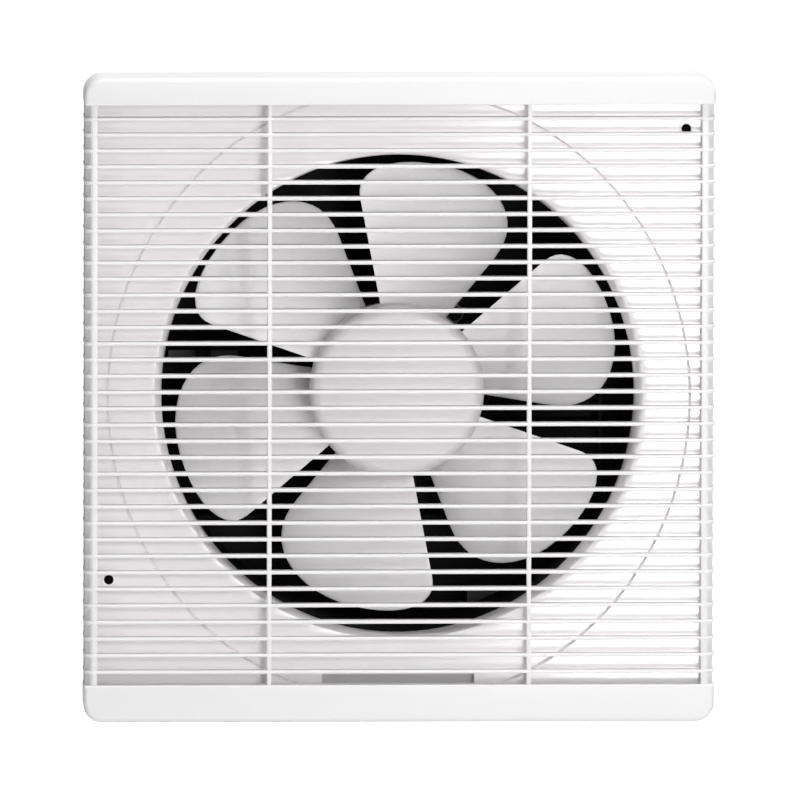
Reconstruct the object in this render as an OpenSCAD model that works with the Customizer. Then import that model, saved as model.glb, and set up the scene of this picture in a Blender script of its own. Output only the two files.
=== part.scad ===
// Wall exhaust fan of the 250 mm class: a clip-on front grille, a white panel
// with a bell mouth, a black wall casing, a six-blade impeller on its motor,
// and a row of linked gravity shutters at the outdoor end.
//
// X is to the right and Z is up as seen from the room. Y points out of doors.
// The wall face is at y = 0, so what stands in the room has a negative y.

/* [Wall hole and casing] */
// Side of the square hole in the wall
wall_hole = 300; // [296:1:310]
// Gap between the casing and the hole, on each side
hole_gap = 4; // [2:0.5:6]
// How far the casing reaches into the wall
casing_d = 124; // [122:1:150]
// Wall thickness of the casing and of its duct ring
casing_wall = 2.5; // [2:0.1:3.5]
// Thickness of the flange that lies on the wall
flange_t = 3; // [2:0.5:4]
// How far the duct ring reaches behind the wall face
ring_back = 42; // [40:1:48]
// Distance from the casing's inner side to the throat's circle
ring_room = 13; // [12:0.5:16]
// Gap between the duct ring and the flange round it
ring_gap = 0.05; // [0.03:0.01:0.2]
// Width of the shoulder that the duct ring rests on
ring_shoulder = 6; // [4:0.5:8]

/* [Front panel] */
// How far the panel laps over the wall hole on each side
panel_lap_x = 19; // [17:0.5:25]
// How far the panel laps over the wall hole above and below
panel_lap_z = 24; // [20:0.5:30]
// Corner radius of the front panel
panel_corner = 7.5; // [5:0.5:12]
// How far the panel's face stands off the wall
panel_d = 34; // [32:1:40]
// Wall thickness of the panel
panel_wall = 2.5; // [2:0.1:3]
// Distance from the panel's side edge to the circle where the bell mouth starts
flare_in = 6; // [5:0.5:12]
// Depth of the small step round that circle
flare_step = 0.8; // [0.4:0.1:1.4]
// How far the bell mouth's lip stands off the wall
lip_off = 16; // [10:1:20]
// Gap between the lip and the duct ring behind it
lip_gap = 0.5; // [0.3:0.1:1]
// Gap between the panel's sides and the casing flange inside it
flange_gap = 0.4; // [0.3:0.1:1]
// Width of the recess at the panel's foot
recess_w = 83; // [60:1:90]
// Distance from the panel's foot to the recess
recess_foot = 9.5; // [8.5:0.5:11]
// Height of the recess
recess_h = 13; // [8:1:14]
// Depth of the recess
recess_d = 10; // [6:1:14]

/* [Screw holes] */
// Radius of the holes for the wall screws
screw_hole_r = 2.6; // [2.1:0.1:3]
// Half the distance between the wall screws, sideways
screw_x = 110; // [90:1:130]
// Distance from the panel's top and foot to the wall screws
screw_in = 11; // [10:0.5:12]
// Distance from the panel's right edge to the extra hole at the upper right
upper_hole_in = 13; // [10:0.5:15]
// Distance from the panel's top to that hole
upper_hole_down = 27.5; // [24:0.5:34]
// Distance from the panel's left edge to the extra hole at the lower left
lower_hole_in = 11.5; // [10:0.5:15]
// Distance from the panel's foot to that hole
lower_hole_up = 74; // [64:0.5:80]
// Width of the low raised rim round the two extra holes
hole_rim_w = 1.3; // [0.8:0.1:2]
// Height of that rim
hole_rim_h = 0.4; // [0.2:0.1:0.8]
// Wall thickness of the posts round the screw holes
post_wall = 2; // [1.5:0.1:2.4]
// Radius of the screws that join the casing and the panel
joint_screw_r = 1.75; // [1.5:0.05:2]
// Length of the joining screws
joint_screw_l = 14; // [10:1:18]
// Distance from the panel's sides to the joining screws
joint_screw_in = 12; // [10:0.5:15]
// Half the distance between the joining screws, up and down
joint_screw_z = 60; // [40:1:80]

/* [Front grille] */
// Gap between the grille's sides and the panel
grille_gap = 0.5; // [0.4:0.1:1]
// Wall thickness of the grille
grille_wall = 2; // [1.6:0.1:2.5]
// How far the grille's sides reach back from its face
grille_d = 26; // [22:1:30]
// How far the face of the caps stands in front of the panel
cap_off = 16; // [12:1:20]
// Height of the top cap
cap_top_h = 15; // [12:0.1:20]
// Height of the bottom cap
cap_foot_h = 20.4; // [14:0.1:24]
// Radius on the front edge of the caps
cap_edge_r = 2.6; // [1.5:0.1:4]
// Depth of the return walls behind the caps' inner edges
cap_return = 9; // [6:0.5:11]
// How far the bars lie behind the face of the caps
bar_recess = 1.6; // [0.6:0.1:2.5]
// Wanted distance from bar to bar
bar_pitch = 8.9; // [7:0.01:12]
// Thickness of a bar
bar_t = 2; // [1.6:0.1:3]
// Depth of a bar from front to back
bar_d = 6; // [4:0.5:8]
// Radius of a bar's bend at the grille's side edge
bar_bend_r = 5; // [3.5:0.5:8]
// Distance from the top cap to the centre of the first bar
first_bar = 7.4; // [5:0.1:10]
// Distance from the last bar's centre to the bottom cap
last_bar = 7.8; // [5:0.1:10]
// Place of the two upright ribs, each side of the centre
rib_x = 70.6; // [50:0.1:90]
// Width of an upright rib
rib_w = 2.5; // [2:0.1:4]
// Width of the upright rib near each side edge
side_rib_w = 3.8; // [2.5:0.1:5]
// Distance from the grille's side edge to that rib's centre
side_rib_in = 5.6; // [5:0.1:8]
// How far the upright ribs lie behind the bars' front
rib_recess = 0.3; // [0.2:0.1:1]
// Width of the rail that joins the bar ends at the sides
rail_w = 3; // [2:0.1:5]
// Place of the four snap prongs, each side of the centre
prong_x = 62; // [50:1:90]
// Width of a prong
prong_w = 10; // [6:0.5:14]
// Thickness of a prong
prong_t = 2; // [1.5:0.1:2.4]
// Gap round a prong in its slot
prong_gap = 0.4; // [0.3:0.05:0.6]

/* [Impeller] */
// Number of blades
blade_n = 6; // [4:1:7]
// Gap between the blade tips and the throat
tip_gap = 6; // [3:0.5:10]
// Radius of the hub
hub_r = 47.5; // [44:0.5:52]
// How far the hub's face stands off the wall
hub_off = 16; // [12:0.5:20]
// Place of the hub's rear edge
hub_back = 37; // [36:0.5:38]
// Wall thickness of the hub
hub_wall = 2.5; // [2:0.1:3]
// Depth of the hub cap
hub_cap_d = 13; // [13:0.5:15]
// Radius on the edge of the hub cap
hub_edge_r = 6; // [3:0.5:8]
// Angle that a blade covers
blade_span = 50.5; // [40:0.5:55]
// Angle of the first blade's leading edge, clockwise from the top
blade_start = -11.8; // [-60:0.1:60]
// Depth of the blades' leading edge behind the wall face
blade_front = 4; // [2:0.5:8]
// Depth from the leading to the trailing edge
blade_depth = 31; // [24:0.5:32]
// Bulge of a blade's middle towards the room
blade_camber = 3; // [1:0.1:5]
// Thickness of a blade's middle
blade_t = 2.4; // [1.8:0.1:3]
// Distance from the tip where the leading corner starts to round
lead_round_l = 20; // [15:1:30]
// Angle over which the leading corner rounds
lead_round = 16; // [10:0.5:22]
// Distance from the tip where the trailing corner starts to round
trail_round_l = 41; // [25:1:50]
// Angle over which the trailing corner rounds
trail_round = 30; // [20:0.5:32]

/* [Motor] */
// Radius of the motor's covers
motor_r = 44; // [42:0.5:46]
// Depth of the motor's front behind the wall face
motor_front = 42; // [41:0.5:43]
// Length of the motor
motor_len = 46; // [44:0.5:50]
// Wall thickness of the motor's covers
motor_wall = 2.5; // [2:0.1:3]
// Radius of the shaft
shaft_r = 4; // [3.5:0.1:4.5]
// Running clearance round the shaft
shaft_gap = 0.05; // [0.03:0.01:0.08]
// Outer radius of the ball bearings
bearing_r = 11; // [10:0.5:12]
// Width of the ball bearings
bearing_w = 7; // [6:0.5:8]
// Gap round the bearings in their seats
bearing_gap = 0.02; // [0.01:0.01:0.05]
// Width of the stator from its bore to its outside
stator_w = 17.1; // [15:0.1:19]
// Air gap between the rotor and the stator
air_gap = 0.4; // [0.35:0.05:0.6]
// Length of the rotor and of the stator core
core_len = 20; // [16:0.5:20]
// Number of stator slots
slot_n = 12; // [8:2:16]
// Width of the bracket's arms
arm_w = 16; // [12:0.5:20]
// Thickness of the bracket
arm_t = 2; // [1.5:0.1:3]
// Radius of the motor's through screws
motor_screw_r = 2; // [1.6:0.1:2.4]

/* [Shutters] */
// Depth of the shutter frame
shutter_frame_d = 26; // [24:1:28]
// Wall thickness of the shutter frame
shutter_frame_wall = 5; // [4.5:0.1:6]
// Gap between the shutter frame and the casing
frame_gap = 0.3; // [0.3:0.05:0.5]
// Depth of the hinge line behind the frame's front edge
hinge_in = 7; // [6:0.5:8]
// Thickness of a shutter blade
shutter_t = 1.6; // [1.2:0.1:2]
// Radius of the barrel along a shutter's top edge
barrel_r = 3; // [2.5:0.1:3.4]
// Radius of the hinge pins
hinge_pin_r = 1.5; // [1.2:0.1:1.8]
// Running clearance round the hinge pins
hinge_gap = 0.05; // [0.03:0.01:0.08]
// How far a shutter laps over the barrel below it
shutter_lap = 2.5; // [2:0.1:3]
// Gap between a closed shutter and the barrel below it
shutter_gap = 0.4; // [0.35:0.05:0.8]
// Distance from the frame's inner side to the crank arms and the link bar
link_in = 26; // [20:1:34]
// How far the crank pin lies before the hinge line
crank_y = 8; // [7.5:0.1:9]
// How far the crank pin lies above the hinge line
crank_z = 11; // [10:0.5:12]
// Radius of the crank pins
crank_pin_r = 1.5; // [1.2:0.1:1.8]
// Clearance round the pins that the link bar drives loosely
link_gap = 0.3; // [0.3:0.05:0.5]
// Width of the link bar
link_w = 7; // [6:0.5:8]
// Thickness of the link bar and of the crank arms
link_t = 2; // [1.5:0.1:2.5]

/* [Electrical] */
// Width of the terminal box
box_w = 62; // [56:1:70]
// Length of the terminal box from front to back
box_l = 30; // [28:1:32]
// Height of the terminal box
box_h = 24; // [22:1:28]
// Sideways place of the terminal box
box_x = 72; // [66:1:80]
// Gap round the box cover's lip
cover_gap = 0.3; // [0.2:0.05:0.5]
// Length and width of the terminal block
block_w = 18; // [16:1:19]
// Height of the terminal block
block_h = 11; // [9:1:14]
// Gap between the terminal block and the box's side
block_gap = 2; // [1:0.5:4]
// Radius of the supply cord that the grommet takes
cord_r = 3.6; // [3:0.1:4.5]
// Radius of the motor's lead
lead_r = 2.5; // [2:0.1:3]
// Length of the capacitor
capacitor_w = 38; // [34:1:42]
// Height of the capacitor
capacitor_h = 26; // [22:1:28]
// Thickness of the capacitor
capacitor_t = 16; // [12:1:18]

/* [Hidden] */

white = [0.93, 0.92, 0.92];
black = [0.06, 0.06, 0.065];
steel = [0.70, 0.71, 0.72];
$fn = 64;
join = 0.6;

panel_w = wall_hole + 2 * panel_lap_x;
panel_h = wall_hole + 2 * panel_lap_z;
casing_half = wall_hole / 2 - hole_gap;
casing_in = casing_half - casing_wall;
throat_r = casing_in - ring_room;
flare_r = panel_w / 2 - flare_in;
recess_top = panel_h / 2 - recess_foot - recess_h;
bell_a = flare_r - throat_r;
bell_b = panel_d - flare_step - lip_off;
recess_start = flare_step + bell_b * (1 - sqrt(1 - pow((flare_r - recess_top + panel_wall) / bell_a, 2)));
face_y = -panel_d;
panel_in_w = panel_w - 2 * panel_wall;
panel_in_h = panel_h - 2 * panel_wall;
flange_w = panel_in_w - 2 * flange_gap;
flange_h = panel_in_h - 2 * flange_gap;

grille_w = panel_w + 2 * (grille_gap + grille_wall);
grille_h = panel_h + 2 * (grille_gap + grille_wall);
grille_corner = panel_corner + grille_gap + grille_wall;
cap_y = face_y - cap_off;
grille_back = cap_y + grille_d;
bar_y = cap_y + bar_recess;
cap_top_z = grille_h / 2 - cap_top_h;
cap_foot_z = -grille_h / 2 + cap_foot_h;
bars_top = cap_top_z - first_bar;
bars_foot = cap_foot_z + last_bar;
bar_n = round((bars_top - bars_foot) / bar_pitch) + 1;
bar_step = (bars_top - bars_foot) / (bar_n - 1);
side_rib_x = grille_w / 2 - side_rib_in;
prong_z = (cap_top_z + grille_h / 2 - grille_wall) / 2;

tip_r = throat_r - tip_gap;
lead_round_r = tip_r - lead_round_l;
trail_round_r = tip_r - trail_round_l;
hub_y = -hub_off;
cap_end = hub_y + hub_cap_d;
cap_seat = 0.4;
cap_seat_l = 5;
cap_dome = 1.2;
web_y = cap_end + cap_seat;
web_t = 3;
boss_r = 9;
boss_end = motor_front - 3;
nut_h = 6;
nut_flats = 13;
hub_rib = 2;
hub_rib_in = 6;
washer_t = 1.5;
washer_r = 8.5;
nut_y = web_y - washer_t - nut_h;
shaft_front = nut_y - 2;

motor_back = motor_front + motor_len;
motor_mid = motor_front + motor_len / 2;
core_y = motor_mid - core_len / 2;
stator_r = motor_r - motor_wall;
rotor_r = stator_r - stator_w - air_gap;
front_bearing_y = motor_front + motor_wall;
rear_bearing_y = motor_back - motor_wall - bearing_w;
motor_screw_ring = motor_r + 4;
motor_bevel = 3;
seat_wall = 2.2;
seal_depth = 0.3;
wire_r = 2.6;
winding_l = 4.5;
end_ring = 3;
arm_reach = casing_in;
ear_r = motor_screw_r + 2.6;
ear_t = 6;
screw_gap = 0.1;
tab_l = 14;
arm_rib = 5;
arm_rib_t = 1.5;
capacitor_x = -casing_in * 0.72;
clip_w = 8;
clip_t = 0.8;
clip_gap = 0.05;

frame_out = casing_in - frame_gap;
frame_in = frame_out - shutter_frame_wall;
frame_back = casing_d - 2;
frame_front = frame_back - shutter_frame_d;
hinge_y = frame_front + hinge_in;
hinge_top = frame_in - crank_z - link_w / 2 - 1.5;
sill_h = 6;
foot_lip = 1.5;
shutter_n = 5;
shutter_step = (hinge_top + frame_in - sill_h + barrel_r) / shutter_n;
shutter_w = 2 * (frame_in - 2.5);
plate_w = shutter_w - 1;
stop_t = 2;
link_x = frame_in - link_in;
link_side_gap = 0.4;
lap_y = barrel_r + shutter_gap + shutter_t / 2;
shutter_tilt = asin(lap_y / shutter_step);
shutter_len = (shutter_step + shutter_lap) / cos(shutter_tilt);

tab_y = motor_mid - arm_t / 2 - tab_l / 2;
frame_screw_y = frame_back - 6;
box_y = (ring_back + frame_front) / 2 + 6;
box_wall = 2;
box_floor = -casing_in;
lead_z = box_floor + box_h * 0.6;
grommet_wall = 2;
grommet_r = cord_r + grommet_wall;
lead_bend = 10;
thread_gap = 0.05;
pan_head = 1.6;
countersink = 1.6;
head_gap = 0.2;
post_end = post_wall + 4;

screw_z = panel_h / 2 - screw_in;
joint_screw_x = panel_w / 2 - joint_screw_in;
wall_screw_places = [for (x = [-screw_x, screw_x], z = [-screw_z, screw_z]) [x, z]];
extra_hole_places = [
    [panel_w / 2 - upper_hole_in, panel_h / 2 - upper_hole_down],
    [lower_hole_in - panel_w / 2, lower_hole_up - panel_h / 2]
];
through_hole_places = concat(wall_screw_places, extra_hole_places);
joint_screw_places = [for (x = [-1, 1], z = [-1, 1]) [x * joint_screw_x, z * joint_screw_z]];
frame_screw_places = [for (side = [0, 180], z = [-1, 1]) [side, z * frame_in / 2]];

// Extrudes a front view, drawn in X and Z, from y0 to y1
module slab(y0, y1) {
    translate([0, y1, 0]) rotate([90, 0, 0]) linear_extrude(y1 - y0) children();
}

// Turns a profile, drawn as radius and y, about the fan's axis
module turned() {
    rotate([-90, 0, 0]) rotate_extrude($fn = 128) children();
}

// A ring about the fan's axis, from y0 to y1
module ring(r_out, r_in, y0, y1) {
    slab(y0, y1) difference() {
        circle(r = r_out, $fn = 128);
        circle(r = r_in, $fn = 128);
    }
}

// A rectangle with round corners, about the centre
module rounded_rect(w, h, r) {
    square([w - 2 * r, h], center = true);
    square([w, h - 2 * r], center = true);
    for (x = [-1, 1], z = [-1, 1]) translate([x * (w / 2 - r), z * (h / 2 - r)]) circle(r = r);
}

// Points of an arc about (cx, cy), from angle a0 to a1
function arc(cx, cy, r, a0, a1, n) =
    [for (i = [0:n]) let (a = a0 + (a1 - a0) * i / n) [cx + r * cos(a), cy + r * sin(a)]];

// Points of a quarter ellipse that leaves (cx, cy + b) and ends at (cx - a, cy)
function quarter(cx, cy, a, b, n) =
    [for (i = [0:n]) let (t = 90 * i / n) [cx - a * sin(t), cy + b * cos(t)]];

function reversed(list) = [for (i = [len(list) - 1:-1:0]) list[i]];

// Section of the grille's rim: u runs outwards from the corner's centre, v along y
module rim_section() {
    r = grille_corner;
    e = cap_edge_r;
    w = grille_wall;
    polygon(concat(
        [[0, cap_y + w], [0, cap_y]],
        arc(r - e, cap_y + e, e, -90, 0, 6),
        [[r, grille_back], [r - w, grille_back]],
        [[r - w, cap_y + w]]
    ));
}

// The grille's rim and face, as one tray that is open to the wall
module grille_tray() {
    x = grille_w / 2 - grille_corner;
    z = grille_h / 2 - grille_corner;
    for (sx = [0, 1], sz = [0, 1]) mirror([sx, 0, 0]) mirror([0, 0, sz]) {
        translate([x, 0, z]) rotate([-90, 0, 0]) rotate([0, 0, -90])
            rotate_extrude(angle = 90) rim_section();
    }
    for (sx = [0, 1]) mirror([sx, 0, 0])
        translate([x, 0, -z]) linear_extrude(2 * z) rim_section();
    for (sz = [0, 1]) mirror([0, 0, sz])
        translate([x, 0, z]) rotate([0, -90, 0]) linear_extrude(2 * x) rim_section();
    slab(cap_y, cap_y + grille_wall) square([2 * x + join, 2 * z + join], center = true);
}

// Everything in the tray that lies in one cap's band
module cap_band(z0, z1) {
    intersection() {
        grille_tray();
        translate([-grille_w, cap_y - 1, z0]) cube([2 * grille_w, grille_d + 2, z1 - z0]);
    }
}

// One bar with its two bends and its side stretches, seen from above
module bar_outline() {
    half = grille_w / 2;
    difference() {
        union() {
            translate([-half, bar_y + bar_bend_r]) square([2 * half, grille_back - bar_y - bar_bend_r]);
            translate([-half + bar_bend_r, bar_y]) square([2 * (half - bar_bend_r), bar_bend_r + join]);
            for (s = [-1, 1])
                translate([s * (half - bar_bend_r), bar_y + bar_bend_r]) circle(r = bar_bend_r);
        }
        translate([-half + grille_wall, bar_y + bar_d]) square([2 * (half - grille_wall), grille_d]);
    }
}

module front_grille() color(white) {
    rib_y = bar_y + rib_recess;
    rib_d = bar_d - 2 * rib_recess;
    rail_in = 2 * rib_recess;
    rib_foot = cap_foot_z - grille_wall / 2;
    rib_h = cap_top_z - cap_foot_z + grille_wall;
    cap_band(cap_top_z, grille_h / 2 + 1);
    cap_band(-grille_h / 2 - 1, cap_foot_z);
    for (z = [cap_top_z, cap_foot_z - grille_wall]) {
        translate([-grille_w / 2 + grille_wall / 2, cap_y + grille_wall / 2, z])
            cube([grille_w - grille_wall, cap_return - grille_wall / 2, grille_wall]);
    }
    for (i = [0:bar_n - 1])
        translate([0, 0, bars_foot + i * bar_step - bar_t / 2]) linear_extrude(bar_t) bar_outline();
    for (s = [-1, 1]) {
        translate([s * rib_x - rib_w / 2, rib_y, rib_foot]) cube([rib_w, rib_d, rib_h]);
        translate([s * side_rib_x - side_rib_w / 2, rib_y, rib_foot]) cube([side_rib_w, rib_d, rib_h]);
        rail_x = s > 0 ? grille_w / 2 - grille_wall : rail_in - grille_w / 2;
        translate([rail_x, grille_back - rail_w, rib_foot]) cube([grille_wall - rail_in, rail_w, rib_h]);
    }
    for (x = [-prong_x, prong_x], s = [-1, 1])
        translate([x - prong_w / 2, cap_y + grille_wall / 2, s * prong_z - prong_t / 2])
            cube([prong_w, cap_off + panel_wall + 3, prong_t]);
}

// The curved shell from the flare circle in to the throat's lip
module bell_mouth() {
    a = bell_a;
    b = bell_b;
    w = panel_wall;
    seat = flare_r + 2;
    front = [for (p = quarter(flare_r, lip_off, a, b, 20)) [p[0], -p[1]]];
    back = [for (p = quarter(flare_r, lip_off, a - w, b - w, 20)) [p[0], -p[1]]];
    turned() polygon(concat([[seat, -lip_off - b]], front, reversed(back), [[seat, -lip_off - b + w]]));
}

// The recess at the panel's foot, grown on all sides
module recess_outline(grow) {
    translate([-recess_w / 2 - grow, -recess_top - recess_h - grow])
        square([recess_w + 2 * grow, recess_h + 2 * grow]);
}

module front_panel() color(white) {
    recess_back = face_y + recess_d + panel_wall;
    difference() {
        union() {
            slab(face_y, face_y + panel_wall) difference() {
                rounded_rect(panel_w, panel_h, panel_corner);
                circle(r = flare_r, $fn = 128);
            }
            slab(face_y, 0) difference() {
                rounded_rect(panel_w, panel_h, panel_corner);
                rounded_rect(panel_in_w, panel_in_h, panel_corner - panel_wall);
            }
            bell_mouth();
            for (p = through_hole_places)
                slab(face_y + 1, -flange_t) translate(p) circle(r = screw_hole_r + post_wall);
            for (p = extra_hole_places)
                slab(face_y - hole_rim_h, face_y + 1) translate(p) circle(r = screw_hole_r + hole_rim_w);
            for (p = joint_screw_places)
                slab(face_y + 1, -flange_t) translate(p) circle(r = joint_screw_r + post_wall);
            slab(face_y + recess_start, recess_back) recess_outline(panel_wall);
            slab(face_y + 1, recess_back) difference() {
                recess_outline(panel_wall);
                circle(r = flare_r, $fn = 128);
            }
        }
        for (p = through_hole_places)
            slab(face_y - 1, 1) translate(p) circle(r = screw_hole_r);
        for (p = joint_screw_places)
            slab(face_y + post_end, 1) translate(p) circle(r = joint_screw_r);
        slab(face_y - 1, face_y + recess_d) recess_outline(0);
        for (x = [-prong_x, prong_x], s = [-1, 1]) {
            slab(face_y - 1, face_y + panel_wall + 1)
                translate([x - prong_w / 2 - prong_gap, s * prong_z - prong_t / 2 - prong_gap])
                    square([prong_w + 2 * prong_gap, prong_t + 2 * prong_gap]);
        }
    }
}

module rear_casing() color(black) {
    difference() {
        union() {
            slab(-flange_t, 0) difference() {
                rounded_rect(flange_w, flange_h, panel_corner - panel_wall);
                circle(r = throat_r + casing_wall + ring_gap, $fn = 128);
            }
            slab(-join, casing_d) difference() {
                square(2 * casing_half, center = true);
                square(2 * casing_in, center = true);
            }
        }
        for (p = through_hole_places)
            slab(-flange_t - 1, 1) translate(p) circle(r = screw_hole_r);
        for (p = joint_screw_places) {
            slab(-flange_t - 1, 1) translate(p) circle(r = joint_screw_r);
            translate([p[0], 0, p[1]]) rotate([90, 0, 0])
                cylinder(r1 = joint_screw_r + countersink, r2 = joint_screw_r, h = countersink);
        }
        for (a = [0:90:270]) rotate([0, a, 0]) translate([casing_in - 1, tab_y, 0]) rotate([0, 90, 0])
            cylinder(r = joint_screw_r, h = casing_wall + 2);
        for (p = frame_screw_places)
            rotate([0, p[0], 0]) translate([casing_in - 1, frame_screw_y, p[1]]) rotate([0, 90, 0])
                cylinder(r = joint_screw_r, h = casing_wall + 2);
        translate([box_x, box_y, -casing_half - 1]) cylinder(r = grommet_r, h = casing_wall + 2);
    }
}

// The round duct about the blades, with the shoulder that lies on the casing's flange
module duct_ring() color(black) {
    out = throat_r + casing_wall;
    ring(out, throat_r, -lip_off + lip_gap, ring_back);
    ring(out + ring_shoulder, out - join, -flange_t - casing_wall, -flange_t);
}

// A pan-head screw that points along +Z with its head below z = 0
module pan_screw(r, l) {
    translate([0, 0, -pan_head]) cylinder(r = 1.9 * r, h = pan_head);
    translate([0, 0, -join]) cylinder(r = r, h = l + join);
}

module joint_screws() color(steel) {
    r = joint_screw_r - thread_gap;
    head = countersink - head_gap;
    for (p = joint_screw_places) translate([p[0], -head_gap, p[1]]) rotate([90, 0, 0]) {
        cylinder(r1 = r + head - thread_gap, r2 = r, h = head - thread_gap);
        cylinder(r = r, h = joint_screw_l);
    }
}

// Angle of a blade's edge at radius r, as a share of the corner's rounding
function round_share(r, start, power) =
    r <= start ? 0 : 1 - pow(max(0, 1 - pow((r - start) / (tip_r - start), power)), 1 / power);

function lead_angle(r) = blade_start + lead_round * round_share(r, lead_round_r, 2.6);
function trail_angle(r) = blade_start + blade_span - trail_round * round_share(r, trail_round_r, 2.35);

// A point of the blade: u from leading to trailing edge, side 1 to the room and -1 outdoors
function blade_point(u, r, side) =
    let (
        a = lead_angle(r) + u * (trail_angle(r) - lead_angle(r)),
        s = (a - blade_start) / blade_span,
        taper = 1.25 - 0.45 * (r - hub_r) / (tip_r - hub_r),
        t = blade_t * taper * (0.3 + 0.7 * sqrt(sin(180 * u))),
        y = blade_front + blade_depth * s - blade_camber * sin(180 * s) - side * t / 2
    ) [r * sin(a), y, r * cos(a)];

module blade() {
    nu = 10;
    root = hub_r - hub_wall / 2;
    radii = concat(
        [for (i = [0:4]) root + (trail_round_r - root) * i / 4],
        [for (i = [1:8]) trail_round_r + (tip_r - 0.05 - trail_round_r) * sin(90 * i / 8)]
    );
    nv = len(radii) - 1;
    row = nu + 1;
    sheet = row * (nv + 1);
    points = [for (side = [1, -1], r = radii, i = [0:nu]) blade_point(i / nu, r, side)];
    function quad(a, b, c, d) = [[a, b, c], [b, d, c]];
    faces = concat(
        [for (j = [0:nv - 1], i = [0:nu - 1]) let (p = j * row + i)
            each quad(p, p + row, p + 1, p + row + 1)],
        [for (j = [0:nv - 1], i = [0:nu - 1]) let (p = sheet + j * row + i)
            each quad(p, p + 1, p + row, p + row + 1)],
        [for (i = [0:nu - 1]) each quad(i, i + 1, sheet + i, sheet + i + 1)],
        [for (i = [0:nu - 1]) let (p = nv * row + i) each quad(p, sheet + p, p + 1, sheet + p + 1)],
        [for (j = [0:nv - 1]) let (p = j * row) each quad(p, sheet + p, p + row, sheet + p + row)],
        [for (j = [0:nv - 1]) let (p = j * row + nu) each quad(p, p + row, sheet + p, sheet + p + row)]
    );
    polyhedron(points, faces);
}

module impeller() color([0.88, 0.87, 0.87]) {
    for (i = [0:blade_n - 1]) rotate([0, 360 / blade_n * i, 0]) blade();
    ring(hub_r, hub_r - hub_wall, web_y, hub_back);
    ring(hub_r - hub_wall - cap_seat, hub_r - 2 * hub_wall, web_y - cap_seat_l, web_y + join);
    ring(hub_r - hub_wall / 2, shaft_r + shaft_gap, web_y, web_y + web_t);
    ring(boss_r, shaft_r + shaft_gap, web_y + join, boss_end);
    for (i = [0:5]) rotate([0, 60 * i, 0]) translate([boss_r - 1, web_y + join, -hub_rib / 2])
        cube([hub_r - hub_wall / 2 - boss_r + 1, hub_back - web_y - hub_rib_in, hub_rib]);
}

module hub_cap() color([0.90, 0.89, 0.89]) {
    r = hub_r;
    e = hub_edge_r;
    w = hub_wall;
    dome = cap_dome;
    turned() polygon(concat(
        [[0, hub_y]],
        [for (i = [1:6]) let (x = (r - e) * i / 7) [x, hub_y + dome * pow(x / r, 2)]],
        arc(r - e, hub_y + dome + e, e, -90, 0, 8),
        [[r, cap_end], [r - w, cap_end]],
        reversed(arc(r - e, hub_y + dome + e, e - w, -90, 0, 8)),
        [[0, hub_y + w]]
    ));
}

module impeller_nut() color(steel) {
    slab(nut_y, nut_y + nut_h) difference() {
        circle(r = nut_flats / 2 / cos(30), $fn = 6);
        circle(r = shaft_r + shaft_gap);
    }
}

module impeller_washer() color(steel) {
    ring(washer_r, shaft_r + shaft_gap, nut_y + nut_h, web_y);
}

module motor_shaft() color(steel) {
    slab(shaft_front, motor_back - 1) circle(r = shaft_r);
}

module rotor_core() color([0.45, 0.45, 0.47]) {
    ring(rotor_r, shaft_r + shaft_gap, core_y, core_y + core_len);
    ring(rotor_r - end_ring / 2, rotor_r - 3 * end_ring, core_y - end_ring, core_y + core_len + end_ring);
}

// A ball bearing from y on, with a shallow groove for the seal on each side
module bearing(y) {
    bore = shaft_r + shaft_gap;
    race = (bearing_r - bore) * 0.3;
    turned() difference() {
        translate([bore, y]) square([bearing_r - bore, bearing_w]);
        for (side = [y - 1, y + bearing_w - seal_depth])
            translate([bore + race, side]) square([bearing_r - bore - 2 * race, 1 + seal_depth]);
    }
}

module front_bearing() color(steel) bearing(front_bearing_y);
module rear_bearing() color(steel) bearing(rear_bearing_y);

module stator_core() color([0.38, 0.38, 0.40]) {
    inner = rotor_r + air_gap;
    slab(core_y, core_y + core_len) difference() {
        circle(r = stator_r - 0.3, $fn = 128);
        circle(r = inner, $fn = 128);
        for (i = [0:slot_n - 1]) rotate(360 / slot_n * i) {
            translate([inner + 2 * wire_r, 0]) circle(r = wire_r, $fn = 24);
            translate([inner - 1, -wire_r / 3]) square([wire_r + 2, wire_r / 1.5]);
        }
    }
}

module stator_windings() color([0.72, 0.38, 0.18]) {
    inner = rotor_r + air_gap + wire_r;
    outer = stator_r - 2 * wire_r;
    start = core_len / 2 + bearing_gap;
    for (side = [0, 1]) translate([0, motor_mid, 0]) mirror([0, side, 0]) turned() {
        translate([inner, start]) square([outer - inner, winding_l]);
        translate([(inner + outer) / 2, start + winding_l]) circle(r = (outer - inner) / 4, $fn = 24);
    }
}

// A motor cover, drawn with its end wall at y = 0 and its mouth at y = depth
module motor_cover(depth) {
    bevel = motor_bevel;
    bore = bearing_r - seat_wall;
    turned() {
        translate([motor_r - motor_wall, bevel]) square([motor_wall, depth - bevel]);
        polygon([
            [bore, 0], [motor_r - bevel, 0], [motor_r, bevel],
            [motor_r - motor_wall, bevel + 1], [motor_r - bevel - 1, motor_wall], [bore, motor_wall]
        ]);
        translate([bearing_r + bearing_gap, motor_wall - join]) square([seat_wall, bearing_w + join]);
    }
    for (i = [0:3]) rotate([0, 45 + 90 * i, 0]) translate([motor_screw_ring, depth, 0]) motor_ear();
}

// A screw ear on a cover's rim, ending at y = 0
module motor_ear() {
    reach = motor_screw_ring - motor_r + 1;
    slab(-ear_t, 0) difference() {
        union() {
            circle(r = ear_r);
            translate([-reach, -ear_r]) square([reach, 2 * ear_r]);
        }
        circle(r = motor_screw_r + screw_gap);
    }
}

module motor_front_cover() color(black) {
    translate([0, motor_front, 0]) motor_cover(motor_len / 2 - arm_t / 2);
}

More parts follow.
